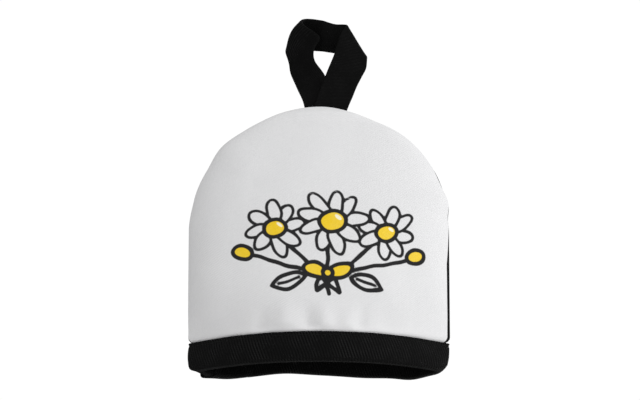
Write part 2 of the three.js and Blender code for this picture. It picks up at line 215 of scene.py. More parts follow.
def eased_table(table, at):
    """A value from a table of places and values, eased from one place to the next."""
    places, values = table
    total = np.full_like(np.asarray(at, float), values[0])
    for near, far, low, high in zip(places[:-1], places[1:], values[:-1], values[1:]):
        total += (high - low) * ease(at, near, far)
    return total


def signed_power(value, power):
    """The size of a number raised to a power, with its sign kept."""
    return np.sign(value) * np.abs(value) ** power


def wave_height(table, x, z):
    """The sum of soft bells across x, each fading in and out over its own heights."""
    total = np.zeros_like(x)
    for row in table:
        wave = dict(zip(WAVE_COLUMNS, row))
        middle = wave["x"] + wave["lean"] * (z - wave["full"])
        fade = ease(z, wave["start"], wave["full"]) * (1 - ease(z, wave["full"], wave["end"]))
        total += wave["rise"] * fade * np.exp(-(((x - middle) / wave["width"]) ** 2))
    return total


def seam_turn(height):
    """The right seam's turn to the front at a height, read from its table, in radians."""
    return np.radians(np.interp(height, SEAM_TURN_HEIGHTS, SEAM_TURN_DEGREES))


def level_size(height, sweep, inset):
    """Height and half width of a level: straight sides, then a superelliptic arch by its sweep."""
    shrink = SEAM_SLANT * inset
    z = height + (ARCH_HEIGHT - shrink) * np.sin(sweep) ** (2 / ARCH_POWER)
    above_hem = ease(height, HEM_DRAWN_IN["side_full"], HEM_DRAWN_IN["side_none"])
    beside = HALF_WIDTH - shrink - HEM_DRAWN_IN["side"] * (1 - above_hem) + SEAM_PROUD * above_hem
    return z, beside * np.cos(sweep) ** (2 / ARCH_POWER)


def depth_at(z, inset, front):
    """Half depth at a height: full low down, drawn in a little at the hem, nothing at the crown."""
    low = np.clip((FULLEST_HEIGHT - z) / FULLEST_HEIGHT, 0, 1)
    top = BODY_HEIGHT - SEAM_SLANT * inset
    up = np.clip((z - FULLEST_HEIGHT) / (top - FULLEST_HEIGHT), 0, 1)
    full = np.where(front, FRONT_DEPTH, BACK_DEPTH) * (1 - HEM_DRAWN_IN["depth"] * low**2) - inset
    return full * (1 - up**2) ** (1 / CROWN_POWER)


def tip_lift(x, z, lapped):
    """The side tips of the hem curl up from the floor, more so beside the lapped tape end."""
    start = np.where(x > 0, TIP_START["right"], TIP_START["left"])
    tip = HALF_WIDTH - HEM_DRAWN_IN["side"]
    out = np.clip((np.abs(x) / tip - start) / (1 - start), 0, TIP_REACH)
    lift = np.where(x > 0, TIP_RISE["right"], TIP_RISE["left"]) * out**2
    near, far = -LAP["from_x"], -LAP["to_x"]
    past_end = ease(-x, near - LAP_LIFT["before"], near + LAP_LIFT["after"])
    step = LAP_LIFT["near"] + LAP_LIFT["step"] * past_end
    beside = ease(-x, far - LAP_LIFT["far"], far + LAP_LIFT["far"])
    lift = np.where(lapped, np.maximum(lift, step * beside), lift)
    return lift * np.clip(1 - z / BINDING_HEIGHT, 0, 1)


def tip_drawn(x, z):
    """The right tip slants inwards below, by the square of the way out to it."""
    tip = HALF_WIDTH - HEM_DRAWN_IN["side"]
    out = np.clip((x / tip - TIP_START["right"]) / (1 - TIP_START["right"]), 0, TIP_REACH)
    return TIP_DRAWN_IN * out**2 * np.clip(1 - z / BINDING_HEIGHT, 0, 1)


def dome(height, sweep, angle, inset, lapped=False):
    """A point of the dome: a superellipse across each level, angle 0 at the right seam, positive
    over the front and negative over the back, with the dents and swellings added outwards."""
    front = angle > 0
    z, half_width = level_size(height, sweep, inset)
    around = np.abs(np.sin(angle))
    x = half_width * signed_power(np.cos(angle), 2 / SECTION_POWER_X)
    waves = np.where(front, wave_height(FRONT_WAVES, x, z), wave_height(BACK_WAVES, x, z))
    power = np.where(front, eased_table(FRONT_POWERS, z), eased_table(BACK_POWERS, z))
    out = depth_at(z, inset, front) * around ** (2 / power) + around * waves
    y = SEAM_Y - np.where(front, out, -out)
    move_x, move_z = outline_move(x, z)
    move_x = move_x - tip_drawn(x, z)
    return np.stack([x + move_x, y, z + move_z + tip_lift(x, z, lapped & ~front)], axis=-1)


def outline_move(x, z):
    """How far a point moves across and up, outwards from the middle, by its direction there."""
    rise = np.maximum(z - OUTLINE_MIDDLE, 0)
    direction = np.arctan2(rise, x)
    out = eased_table(OUTLINE_GIVE, np.degrees(direction)) * ease(np.hypot(rise, x), *OUTLINE_FADE)
    return out * np.cos(direction), out * np.sin(direction)


def even_shares(count, back):
    """Shares of the way round one panel that lie evenly along its section at the middle height."""
    angles = np.linspace(0, math.pi, SEAM_STEPS)
    ring = dome(np.full(SEAM_STEPS, FULLEST_HEIGHT), 0.0, -angles if back else angles, 0.0)
    steps = np.linalg.norm(np.diff(ring, axis=0), axis=1)
    run = np.concatenate([[0], np.cumsum(steps)])
    return np.interp(np.linspace(0, run[-1], count), run, angles / math.pi)


# Meshes


def grid_faces(rows, columns, closed=False):
    """Quads between rings of points, and from the last ring to the first where it is closed."""
    row = np.arange(rows if closed else rows - 1)
    r, c = (part.ravel() for part in np.meshgrid(row, np.arange(columns), indexing="ij"))
    here, there = r * columns, (r + 1) % rows * columns
    next_c = (c + 1) % columns
    return np.stack([here + c, here + next_c, there + next_c, there + c], 1)


def cap_faces(columns, first, flip):
    """Quads that close the ring of points which starts at first, joining facing points in pairs."""
    at = np.arange(columns // 2 - 1)
    facing = columns - 1 - at
    quads = first + np.stack([at, at + 1, facing - 1, facing], 1)
    return quads[:, ::-1] if flip else quads


def capped_grid(rows, columns):
    """Quads between rings of points, with the first and the last ring closed."""
    first, last = cap_faces(columns, 0, True), cap_faces(columns, (rows - 1) * columns, False)
    return np.concatenate([grid_faces(rows, columns), first, last])


def make_piece(name, points, faces, material, uv=None, attributes=None):
    """A mesh object from points in millimetres. Doubles at poles are merged and faces turned out."""
    mesh = bpy.data.meshes.new(name)
    points = points.reshape(-1, 3) * MM
    mesh.from_pydata(points.tolist(), [], faces.tolist())
    if uv is not None:
        layer = mesh.uv_layers.new(name="cloth")
        corners = np.empty(len(mesh.loops), int)
        mesh.loops.foreach_get("vertex_index", corners)
        layer.data.foreach_set("uv", uv.reshape(-1, 2)[corners].ravel())
    for label, values in (attributes or {}).items():
        mesh.attributes.new(label, "FLOAT", "POINT").data.foreach_set("value", values.ravel())
    piece = bpy.data.objects.new(name, mesh)
    bpy.context.collection.objects.link(piece)
    merge_doubles(mesh)
    mesh.shade_smooth()
    mesh.set_sharp_from_angle(angle=SHARP_ANGLE)
    mesh.materials.append(material)
    return piece


def merge_doubles(mesh):
    """Joins points that lie on each other, as at a crown's pole, and recalculates the normals."""
    work = bmesh.new()
    work.from_mesh(mesh)
    bmesh.ops.remove_doubles(work, verts=work.verts, dist=SAME_POINT)
    bmesh.ops.recalc_face_normals(work, faces=work.faces)
    work.to_mesh(mesh)
    work.free()


# Materials


SHEEN_ROUGHNESS = 0.4


class Steps:
    """Nodes added one by one. Each step gives back the socket that carries its result."""

    def __init__(self, tree):
        self.nodes = tree.nodes
        self.links = tree.links

    def add(self, kind, output, settings=None, **inputs):
        """A node with its settings and inputs, each a value or a socket, by name or as n and a number."""
        node = self.nodes.new(kind)
        for label, value in (settings or {}).items():
            setattr(node, label, value)
        for label, value in inputs.items():
            numbered = label[0] == "n" and label[1:].isdigit()
            socket = node.inputs[int(label[1:]) if numbered else label]
            if isinstance(value, bpy.types.NodeSocket):
                self.links.new(value, socket)
            else:
                socket.default_value = value
        return node.outputs[output]

    def work_out(self, operation, first, second):
        return self.add("ShaderNodeMath", "Value", {"operation": operation}, n0=first, n1=second)

    def ranged(self, value, low, high, to_low=0.0, to_high=1.0):
        return self.add("ShaderNodeMapRange", "Result", n0=value, n1=low, n2=high, n3=to_low, n4=to_high)

    def end_with(self, output, first, second, share):
        """Ends the tree with a mix of two shaders."""
        mixed = self.add("ShaderNodeMixShader", "Shader", n0=share, n1=first, n2=second)
        self.links.new(mixed, self.nodes[output].inputs["Surface"])


class Finish(Steps):
    """A material built step by step on the plain shader."""

    def __init__(self, name, roughness, sheen, gloss):
        self.material = bpy.data.materials.new(name)
        self.material.use_nodes = True
        super().__init__(self.material.node_tree)
        self.shader = self.nodes["Principled BSDF"]
        self.shader.inputs["Roughness"].default_value = roughness
        self.shader.inputs["Sheen Weight"].default_value = sheen
        self.shader.inputs["Sheen Roughness"].default_value = SHEEN_ROUGHNESS
        self.shader.inputs["Specular IOR Level"].default_value = gloss

    def cloth_coordinates(self):
        return self.add("ShaderNodeUVMap", "UV", {"uv_map": "cloth"})

    def turned(self, vector, degrees, scale=(1, 1, 1)):
        rotation = (0, 0, math.radians(degrees))
        return self.add("ShaderNodeMapping", "Vector", Vector=vector, Rotation=rotation, Scale=scale)

    def noise(self, vector, scale, detail=3.0, roughness=0.55):
        settings = {"Vector": vector, "Scale": scale, "Detail": detail, "Roughness": roughness}
        return self.add("ShaderNodeTexNoise", "Fac", **settings)

    def stripes(self, vector, pitch_mm, distortion):
        """Even ridges a pitch apart along the vector's first axis, whose unit is a metre."""
        bands = {"wave_type": "BANDS", "bands_direction": "X", "wave_profile": "SIN"}
        scale = math.pi / 10 / (pitch_mm * MM)
        settings = {"Vector": vector, "Scale": scale, "Distortion": distortion, "Detail": 1.0}
        return self.add("ShaderNodeTexWave", "Fac", bands, **settings)

    def blend(self, factor, first, second):
        colors = {"n0": factor, "n6": first, "n7": second}
        return self.add("ShaderNodeMix", 2, {"data_type": "RGBA"}, **colors)

    def bump(self, height, depth_mm, strength, under=None):
        settings = {"Height": height, "Strength": strength, "Distance": depth_mm * MM}
        if under is not None:
            settings["Normal"] = under
        return self.add("ShaderNodeBump", "Normal", **settings)

    def finish(self, color, normal):
        self.links.new(color, self.shader.inputs["Base Color"])
        self.links.new(normal, self.shader.inputs["Normal"])
        return self.material


def from_screen(red, green, blue):
    """A colour given in screen values from 0 to 255, as linear light."""
    shares = [value / 255 for value in (red, green, blue)]
    return tuple(s / 12.92 if s <= 0.04045 else ((s + 0.055) / 1.055) ** 2.4 for s in shares) + (1.0,)


INK = from_screen(36, 36, 37)
YELLOW = from_screen(244, 205, 34)
PALE_YELLOW = from_screen(248, 226, 120)
COTTON = (0.80, 0.80, 0.805, 1.0)
COTTON_SHADE = (0.755, 0.755, 0.765, 1.0)
PALE_GLINT = from_screen(252, 246, 214)

# A twill's crossing threads beside its ribs: how far round, how close and how high
CROSSING = {"turn": 62, "pitch": 0.75, "height": 0.35}
WEAVE_TOP = 1 + CROSSING["height"]

# The print's edge: how soft, and how far it strays with the threads, in millimetres
INK_EDGE = 0.16
INK_STRAY = 0.06


def twill(look, pitch_mm, degrees):
    """Slanting ribs crossed by fine threads: the sum of two sets of ridges, the second lower."""
    cloth = look.cloth_coordinates()
    ribs = look.stripes(look.turned(cloth, degrees), pitch_mm, 0.6)
    threads = look.stripes(look.turned(cloth, degrees + CROSSING["turn"]), pitch_mm * CROSSING["pitch"], 0.4)
    crossing = look.work_out("MULTIPLY", threads, CROSSING["height"])
    return look.work_out("ADD", ribs, crossing), cloth


def printed_cotton():
    """White twill with the posy printed on it. The print's shapes are distances on the points."""
    look = Finish("printed_cotton", 0.88, 0.10, 0.2)
    weave, cloth = twill(look, 0.95, 52)
    blotches = look.noise(cloth, 90, 4)
    slubs = look.noise(look.turned(cloth, 0, (1, 0.12, 1)), 900, 2)
    shade = look.ranged(weave, 0.0, WEAVE_TOP, 0.0, 0.45)
    shade = look.work_out("ADD", shade, look.ranged(blotches, 0.3, 0.7, 0.0, 0.35))
    shade = look.work_out("ADD", shade, look.ranged(slubs, 0.35, 0.65, 0.0, 0.20))
    ground = look.blend(shade, COTTON_SHADE, COTTON)
    stray = look.ranged(look.noise(cloth, 1600, 2), 0.2, 0.8, -INK_STRAY, INK_STRAY)

    def printed(label):
        """1 inside a colour's edge, where its distance is negative, and 0 outside it."""
        distance = look.add("ShaderNodeAttribute", "Fac", {"attribute_name": label})
        return look.ranged(look.work_out("ADD", distance, stray), INK_EDGE, -INK_EDGE)

    pale = look.ranged(blotches, 0.35, 0.7, 0.0, 0.35)
    color = look.blend(printed("yellow"), ground, look.blend(pale, YELLOW, PALE_YELLOW))
    color = look.blend(printed("glint"), color, PALE_GLINT)
    color = look.blend(printed("ink"), color, INK)
    wrinkles = look.noise(look.turned(cloth, 20, (1, 0.35, 1)), 70, 3)
    normal = look.bump(wrinkles, 0.5, 0.35)
    normal = look.bump(weave, 0.07, 0.5, normal)
    return look.finish(color, normal)


def black_cotton():
    """Black plain cloth: fine twill, faint dust and a painted sheen on the ridges that catch the light."""
    look = Finish("black_cotton", 0.9, 0.01, 0.06)
    weave, cloth = twill(look, 0.8, 50)
    # Painted sheen: the weave's ridges get a lighter colour where their fibres catch the light, spread in
    # noisy patches of dust
    painted_ridge_sheen = look.ranged(weave, 0.0, WEAVE_TOP, 0.4, 1.0)
    dust_and_sheen = look.work_out("MULTIPLY", look.noise(cloth, 260, 4), painted_ridge_sheen)
    color = look.blend(dust_and_sheen, (0.0040, 0.0040, 0.0042, 1), (0.0110, 0.0110, 0.0113, 1))
    normal = look.bump(look.noise(cloth, 60, 3), 0.5, 0.3)
    return look.finish(color, look.bump(weave, 0.09, 0.6, normal))


def black_twill_tape(name, degrees, pitch_mm, relief_mm, brightest):
    """Black twill tape: steep slanting ribs that show in patches, and specks of lint."""
    look = Finish(name, 0.8, 0.01, 0.08)
    weave, cloth = twill(look, pitch_mm, degrees)
    patches = look.ranged(look.noise(cloth, 110, 3), 0.38, 0.62)
    ribs = look.blend(patches, (0.30, 0.30, 0.30, 1), look.ranged(weave, 0.35, 1.25, 0.0, 1.0))
    lint = look.ranged(look.noise(cloth, 900, 3, 0.7), 0.56, 0.74, 0.0, 0.5)
    clearer = look.ranged(patches, 0.0, 1.0, 0.75, 1.0)
    grey = look.work_out("ADD", look.work_out("MULTIPLY", ribs, clearer), lint)
    color = look.blend(grey, (0.0001, 0.0001, 0.0001, 1), (brightest, brightest, brightest, 1))
    normal = look.bump(look.noise(cloth, 120, 2), 0.3, 0.25)
    return look.finish(color, look.bump(weave, relief_mm, 0.8, normal))


def black_thread():
    """Sewing thread: a fine slanting twist on black."""
    look = Finish("black_thread", 0.6, 0.02, 0.12)
    place = look.add("ShaderNodeTexCoord", "Object")
    twist = look.stripes(look.turned(place, 35), 0.25, 0.3)
    color = look.blend(twist, (0.002, 0.002, 0.002, 1), (0.010, 0.010, 0.010, 1))
    return look.finish(color, look.bump(twist, 0.03, 0.6))


# The printed posy, in millimetres from its own middle: u to the right and v up along the cloth

POSY_MIDDLE = {"u": 3.5, "v": 51.0}
OUTLINE = 1.75
FINE_LINE = 1.3
FAR = 1.2
DAISY_COLUMNS = ("u", "v", "size", "petals", "turn", "eye")
DAISIES = [
    (-21.5, 5.5, 12.6, 8, 10, 4.3),
    (24.5, 4.0, 12.0, 8, -12, 4.1),
    (2.0, 8.5, 14.4, 9, 4, 5.2),
]
STEMS = [
    [(-21.5, 5.5), (-12.0, -8.0), (4.5, -22.5)],
    [(24.5, 4.0), (13.0, -8.0), (-4.0, -22.0)],
    [(2.0, 8.5), (-1.5, -8.0), (0.4, -23.0)],
    [(-34.0, -5.5), (-22.0, -9.5), (-3.0, -15.0)],
    [(36.0, -7.0), (22.0, -10.5), (3.5, -15.5)],
]
LEAF_COLUMNS = ("u", "v", "length", "width", "turn")
LEAVES = [
    (-15.5, -17.5, 14.0, 6.2, 16),
    (16.0, -18.5, 13.0, 6.0, -18),
]
BUDS = [(-35.0, -4.8, 4.2, 2.9, 160), (36.6, -6.2, 4.0, 2.8, 25)]
BOW = {"u": 0.2, "v": -14.2, "reach": 6.4, "width": 2.9, "knot": 2.0, "tail": 8.0}
BOW_LOOP = {"out": 0.78, "half": 0.8, "rise": 0.9, "turn": 18}
BOW_TAIL = {"out": 4.6, "bend_out": 4.5, "bend_down": 2}
LEAF_VEIN = 0.3

# Shares of a daisy's size or of its eye, the petals' sway in degrees, and how far sizes differ
PETAL = {"sway": 5, "differ": 0.05, "under_eye": 0.35, "width": 1.02}
EYE = {"length": 1.06, "width": 0.92, "turn": 8}
GLINT = {"u": 0.42, "v": 0.36, "length": 0.34, "width": 0.15, "turn": -38}

# How far the drawn lines waver, in long waves and in short ones
LONG_WAVER = 0.30
SHORT_WAVER = 0.14


def oval(u, v, middle_u, middle_v, half_length, half_width, degrees):
    """About the distance to an oval's edge, negative inside: k(k - 1) over the size of its slope."""
    turn = math.radians(degrees)
    along = (u - middle_u) * math.cos(turn) + (v - middle_v) * math.sin(turn)
    across = (v - middle_v) * math.cos(turn) - (u - middle_u) * math.sin(turn)
    size = np.hypot(along / half_length, across / half_width)
    slope = np.hypot(along / half_length**2, across / half_width**2)
    return size * (size - 1) / np.maximum(slope, 1e-9)


def leaf_edge(u, v, leaf):
    """The overlap of two discs: a pointed leaf, negative inside."""
    turn = math.radians(leaf["turn"])
    along = (u - leaf["u"]) * math.cos(turn) + (v - leaf["v"]) * math.sin(turn)
    across = (v - leaf["v"]) * math.cos(turn) - (u - leaf["u"]) * math.sin(turn)
    half, thick = leaf["length"] / 2, leaf["width"] / 2
    radius = (half**2 + thick**2) / (2 * thick)
    return np.hypot(along, np.abs(across) + radius - thick) - radius


def line_distance(u, v, points):
    """Distance to a line through points: the nearest place of any of its straight pieces."""
    nearest = np.full_like(u, np.inf)
    for (u0, v0), (u1, v1) in zip(points[:-1], points[1:]):
        run_u, run_v = u1 - u0, v1 - v0
        share = np.clip(((u - u0) * run_u + (v - v0) * run_v) / (run_u**2 + run_v**2), 0, 1)
        nearest = np.minimum(nearest, np.hypot(u - u0 - share * run_u, v - v0 - share * run_v))
    return nearest


def bent_line(start, bend, end, steps=14):
    """Points of a quadratic curve from start to end, drawn towards the bend."""
    share = np.linspace(0, 1, steps)[:, None]
    start, bend, end = (np.array(point, float) for point in (start, bend, end))
    return (1 - share) ** 2 * start + 2 * share * (1 - share) * bend + share**2 * end


class Print:
    """The posy as three fields of distances, each negative where its colour lies."""

    def __init__(self, u, v):
        self.u = u + LONG_WAVER * np.sin(0.33 * v + 1.1) + SHORT_WAVER * np.sin(0.9 * v)
        self.v = v + LONG_WAVER * np.sin(0.29 * u + 0.4) + SHORT_WAVER * np.sin(0.8 * u + 2)
        self.ink = np.full_like(u, FAR)
        self.yellow = np.full_like(u, FAR)
        self.glint = np.full_like(u, FAR)

    def stroke(self, points, width):
        """Adds a line through points: the distance to it, less half its width."""
        self.ink = np.minimum(self.ink, line_distance(self.u, self.v, points) - width / 2)

    def shape(self, edge, width, filled=False):
        """Lays a shape over what is drawn already, with its outline, white or yellow inside."""
        self.ink = np.minimum(np.maximum(self.ink, -edge), np.abs(edge) - width / 2)
        self.yellow = np.minimum(self.yellow, edge) if filled else np.maximum(self.yellow, -edge)

    def daisy(self, flower):
        """A ring of oval petals, each over the last, then the yellow eye with its glint."""
        middle_u, middle_v, size, eye, count = (flower[key] for key in ("u", "v", "size", "eye", "petals"))
        for petal in range(count):
            degrees = flower["turn"] + 360 * petal / count + PETAL["sway"] * math.sin(2.3 * petal)
            reach = size * (1 + PETAL["differ"] * math.sin(1.7 * petal + middle_u))
            half = (reach - PETAL["under_eye"] * eye) / 2
            out = reach - half
            petal_u = middle_u + out * math.cos(math.radians(degrees))
            petal_v = middle_v + out * math.sin(math.radians(degrees))
            width = PETAL["width"] * math.pi * out / count
            self.shape(oval(self.u, self.v, petal_u, petal_v, half, width, degrees), FINE_LINE)
        length, width = eye * EYE["length"], eye * EYE["width"]
        self.shape(oval(self.u, self.v, middle_u, middle_v, length, width, EYE["turn"]), OUTLINE, True)
        glint_u, glint_v = middle_u + GLINT["u"] * eye, middle_v + GLINT["v"] * eye
        length, width = GLINT["length"] * eye, GLINT["width"] * eye
        glint = oval(self.u, self.v, glint_u, glint_v, length, width, GLINT["turn"])
        self.glint = np.minimum(self.glint, glint)


def posy(u, v):
    """Stems, leaves and buds first, then the bow, then the three daisies over them."""
    drawing = Print(u - POSY_MIDDLE["u"], v - POSY_MIDDLE["v"])
    for start, bend, end in STEMS:
        drawing.stroke(bent_line(start, bend, end), OUTLINE)
    for row in LEAVES:
        leaf = dict(zip(LEAF_COLUMNS, row))
        drawing.shape(leaf_edge(drawing.u, drawing.v, leaf), OUTLINE)
        turn = math.radians(leaf["turn"])
        half = np.array([math.cos(turn), math.sin(turn)]) * leaf["length"] * LEAF_VEIN
        middle = np.array([leaf["u"], leaf["v"]])
        drawing.stroke([middle - half, middle + half], FINE_LINE)
    for bud_u, bud_v, length, width, turn in BUDS:
        drawing.shape(oval(drawing.u, drawing.v, bud_u, bud_v, length, width, turn), OUTLINE, True)
    for side in (-1, 1):
        tail_bend = (BOW["u"] + side * BOW_TAIL["bend_out"], BOW["v"] - BOW_TAIL["bend_down"])
        tail_end = (BOW["u"] + side * BOW_TAIL["out"], BOW["v"] - BOW["tail"])
        drawing.stroke(bent_line((BOW["u"], BOW["v"]), tail_bend, tail_end), OUTLINE)
        loop_u = BOW["u"] + side * BOW["reach"] * BOW_LOOP["out"]
        loop_v, half = BOW["v"] + BOW_LOOP["rise"], BOW["reach"] * BOW_LOOP["half"]
        edge = oval(drawing.u, drawing.v, loop_u, loop_v, half, BOW["width"], side * BOW_LOOP["turn"])
        drawing.shape(edge, OUTLINE, True)
    drawing.shape(oval(drawing.u, drawing.v, BOW["u"], BOW["v"], BOW["knot"], BOW["knot"], 0), OUTLINE, True)
    for row in DAISIES:
        drawing.daisy(dict(zip(DAISY_COLUMNS, row)))
    fields = {"ink": drawing.ink, "yellow": drawing.yellow, "glint": drawing.glint}
    return {label: np.clip(field, -FAR, FAR) for label, field in fields.items()}


# Pieces


HELD_ROWS = [1.3, 4.0, 8.0, 11.4]
PUCKERS_FROM = 12.0
PUCKERS_TO = 29.0
CROWN_CROWDING = 0.3


def panel_levels(low_step, print_step, arch_rows):
    """Heights and sweeps of a panel's rows: close together at the puckers and the print, and ever
    closer towards the crown, by 1.3 times the share of the arch less 0.3 times its square."""
    pucker_rows = np.arange(PUCKERS_FROM, PUCKERS_TO, low_step)
    print_rows = np.arange(PUCKERS_TO, SPRING_HEIGHT - print_step / 2, print_step)
    heights = np.concatenate([HELD_ROWS, pucker_rows, print_rows])
    share = np.linspace(0, 1, arch_rows)
    sweeps = (math.pi / 2) * ((1 + CROWN_CROWDING) * share - CROWN_CROWDING * share**2)
    height = np.concatenate([heights, np.full(arch_rows, SPRING_HEIGHT)])
    return height[:, None], np.concatenate([np.zeros(len(heights)), sweeps])[:, None]


def panel_walls(height):
    """Insets of a panel's two skins: thin where the binding holds it, and above that a quarter of
    an ellipse out to the full wall."""
    held = np.clip((BINDING_HEIGHT + BOUND_ROUNDING - height) / BOUND_ROUNDING, 0, 1)
    pinch = 1 - np.sqrt(1 - held**2)
    return BOUND_OUTER * pinch, PANEL_WALL - (PANEL_WALL - BOUND_INNER) * pinch


def panel_points(back, columns, height, sweep):
    """Both skins of a panel as one ring of points for each level, with rounded seam edges.

    Gives the points and the cloth's own coordinates: the length along the outer skin from x = 0,
    and the length up the panel's middle."""
    side = -1 if back else 1
    start = seam_turn(level_size(height, sweep, 0.0)[0])
    shares = even_shares(columns, back)[None, :]
    angle = start - (math.pi + start) * shares if back else start + (math.pi - start) * shares
    outer, inner = panel_walls(height)
    plain = dome(height, sweep, angle, 0.0 * angle)
    steps = np.linalg.norm(np.diff(plain, axis=1), axis=2)
    run = np.concatenate([np.zeros((len(height), 1)), np.cumsum(steps, axis=1)], axis=1)
    from_edge = np.minimum(run, run[:, -1:] - run)
    rounding = SEAM_ROUNDING * (1 - 0.75 * ease(sweep, CROWN_SLOT["start"] - 0.35, CROWN_SLOT["start"]))
    edge = np.clip(1 - from_edge / rounding, 0, 1)
    pinch = rounding * (1 - np.sqrt(1 - edge**2))
    slot = ease(sweep, CROWN_SLOT["start"], CROWN_SLOT["full"])
    narrow = SEAM_HALF_GAP * np.cos(angle) ** 4
    gap = narrow + (CROWN_SLOT["half_gap"] - narrow) * slot

    def skin(inset):
        points = dome(height, sweep, angle, inset)
        points[..., 1] -= side * gap
        return points

    points = np.concatenate([skin(outer + pinch), skin(inner - pinch)[:, ::-1]], axis=1)
    nearest = np.abs(plain[..., 0]).argmin(axis=1)[:, None]
    middle = np.take_along_axis(run + plain[..., 0], nearest, axis=1)
    across = middle - run
    up = np.concatenate([[0], np.cumsum(np.linalg.norm(np.diff(plain[:, columns // 2], axis=0), axis=1))])
    up = up[:, None] + plain[0, columns // 2, 2] + 0 * across
    cloth = np.stack([across, up], axis=-1)
    return points, np.concatenate([cloth, cloth[:, ::-1]], axis=1)


def make_panel(name, back, columns, levels, material):
    height, sweep = levels
    points, cloth = panel_points(back, columns, height, sweep)
    drawn = None
    if not back:
        drawn = posy(cloth[..., 0], cloth[..., 1])
        for values in drawn.values():
            values[:, columns:] = FAR
    return make_piece(name, points, capped_grid(*points.shape[:2]), material, cloth * MM, drawn)


def quarter(middle, radius, start, end, steps):
    """Points of an arc in the plane of inset and height, angles in degrees."""
    turn = np.radians(np.linspace(start, end, steps))
    return np.stack([middle[0] + radius * np.cos(turn), middle[1] + radius * np.sin(turn)], 1)


def straight(start, end, steps):
    """Points of a straight line, without its two ends."""
    share = np.linspace(0, 1, steps + 2)[1:-1, None]
    return (1 - share) * np.array(start, float) + share * np.array(end, float)


def binding_profile():
    """The folded tape's section, as insets and heights: up the outside, over one lip, down and up
    inside the fold, over the other lip, down the inside and round the fold."""
    ply, top = TAPE_PLY, BINDING_HEIGHT - LIP_RADIUS
    outside, inside = BINDING_OUTSIDE, BINDING_INSIDE
    lip, fold, inner = LIP_RADIUS, FOLD_RADIUS, INNER_FOLD["radius"]
    return np.concatenate(
        [
            straight((outside, fold), (outside, top), 26),
            quarter((outside + lip, top), lip, 180, 0, 6),
            straight((outside + ply, top), (outside + ply, INNER_FOLD["wall_end"]), 4),
            quarter((outside + ply + inner, INNER_FOLD["height"]), inner, 180, 270, 3),
            quarter((inside - ply - inner, INNER_FOLD["height"]), inner, 270, 360, 3),
            straight((inside - ply, INNER_FOLD["wall_end"]), (inside - ply, top), 4),
            quarter((inside - lip, top), lip, 180, 0, 6),
            straight((inside, top), (inside, fold), 16),
            quarter((inside - fold, fold), fold, 0, -90, 6),
            straight((inside - fold, 0), (outside + fold, 0), 2),
            quarter((outside + fold, fold), fold, -90, -180, 6),
        ]
    )


def even_ring(count):
    """Angles once round the dome from seam to seam, evenly along its section at the hem."""
    angles = np.linspace(-math.pi, math.pi, HEM_STEPS)
    ring = dome(np.full(HEM_STEPS, BINDING_HEIGHT / 2), 0.0, angles, 0.0)
    run = np.concatenate([[0], np.cumsum(np.linalg.norm(np.diff(ring, axis=0), axis=1))])
    places = np.linspace(0, run[-1], count, endpoint=False)
    return np.interp(places, run, angles), places


def outside_swell(inset, height, run):
    """How the outer ply stands out: half a sine wave up its face, less a bell at the stitches, plus
    a sine wave along it whose own phase wanders."""
    outer = ease(-inset, -0.1, 0.3)
    bulge = BULGE["rise"] * np.sin(math.pi * np.clip((height - BULGE["from"]) / BULGE["span"], 0, 1))
    groove = GROOVE["depth"] * np.exp(-(((height - STITCH_HEIGHT) / GROOVE["width"]) ** 2))
    pucker = PUCKER["rise"] * np.sin(run / 3.1 + 0.8 * np.sin(run / 11))
    pucker = pucker * ease(height, PUCKER["start"], PUCKER["full"])
    return outer * (bulge - groove + pucker)


def make_binding(material):
    """The binding's section carried once round the hem."""
    angles, run = even_ring(BINDING_STEPS)
    profile = binding_profile()
    inset, height = profile[None, :, 0], profile[None, :, 1]
    inset = inset - outside_swell(inset, height, run[:, None])
    points = dome(height + 0 * inset, 0.0, angles[:, None] + 0 * inset, inset, lapped=True)
    along = np.concatenate([[0], np.cumsum(np.linalg.norm(np.diff(profile, axis=0), axis=1))])
    cloth = np.stack(np.broadcast_arrays(run[:, None], along[None, :]), axis=-1)
    faces = grid_faces(len(angles), len(profile), closed=True)
    return make_piece("hem_binding", points, faces, material, cloth * MM)


def back_angle_at(x):
    """The angle over the back of the hem where the section reaches a place across."""
    tip = HALF_WIDTH - HEM_DRAWN_IN["side"]
    return -np.arccos(np.clip(signed_power(x / tip, SECTION_POWER_X / 2), -1, 1))


def make_lapped_end(material):
    """The tape's second end, laid over the binding round its fold: a sheet with a cut edge."""
    angles = np.linspace(back_angle_at(LAP["from_x"]), back_angle_at(LAP["to_x"]), LAP_STEPS)
    height_top = BINDING_HEIGHT - LAP["below_lip"]
    outside, inside = BINDING_OUTSIDE - LAP["clear"], BINDING_INSIDE + LAP["clear"]
    fold = FOLD_RADIUS + LAP["clear"]
    centre = fold + LAP_LIFT["near"]
    path = np.concatenate(
        [
            straight((outside, height_top), (outside, fold), 22),
            quarter((outside + fold, centre), fold, 180, 270, 7),
            quarter((inside - fold, centre), fold, 270, 360, 7),
            straight((inside, fold), (inside, height_top), 16),
        ]
    )
    step = np.gradient(path, axis=0)
    out = np.stack([step[:, 1], -step[:, 0]], 1) / np.linalg.norm(step, axis=1)[:, None]
    section = np.concatenate([path + out * LAP["ply"], path[::-1]])
    inset, height = section[None, :, 0], np.maximum(section[None, :, 1], 0.0)
    bulge = outside_swell(inset, height, 0 * angles[:, None])
    points = dome(height + 0 * bulge, 0.0, angles[:, None] + 0 * bulge, inset - bulge)
    along = np.concatenate([[0], np.cumsum(np.linalg.norm(step, axis=1))[:-1]])
    along = np.concatenate([along, along[::-1]])
    run = np.linalg.norm(np.diff(points[:, 5], axis=0), axis=1).cumsum()
    cloth = np.stack(np.broadcast_arrays(np.concatenate([[0], run])[:, None], along[None, :]), axis=-1)
    return make_piece("hem_tape_end", points, capped_grid(*points.shape[:2]), material, cloth * MM)


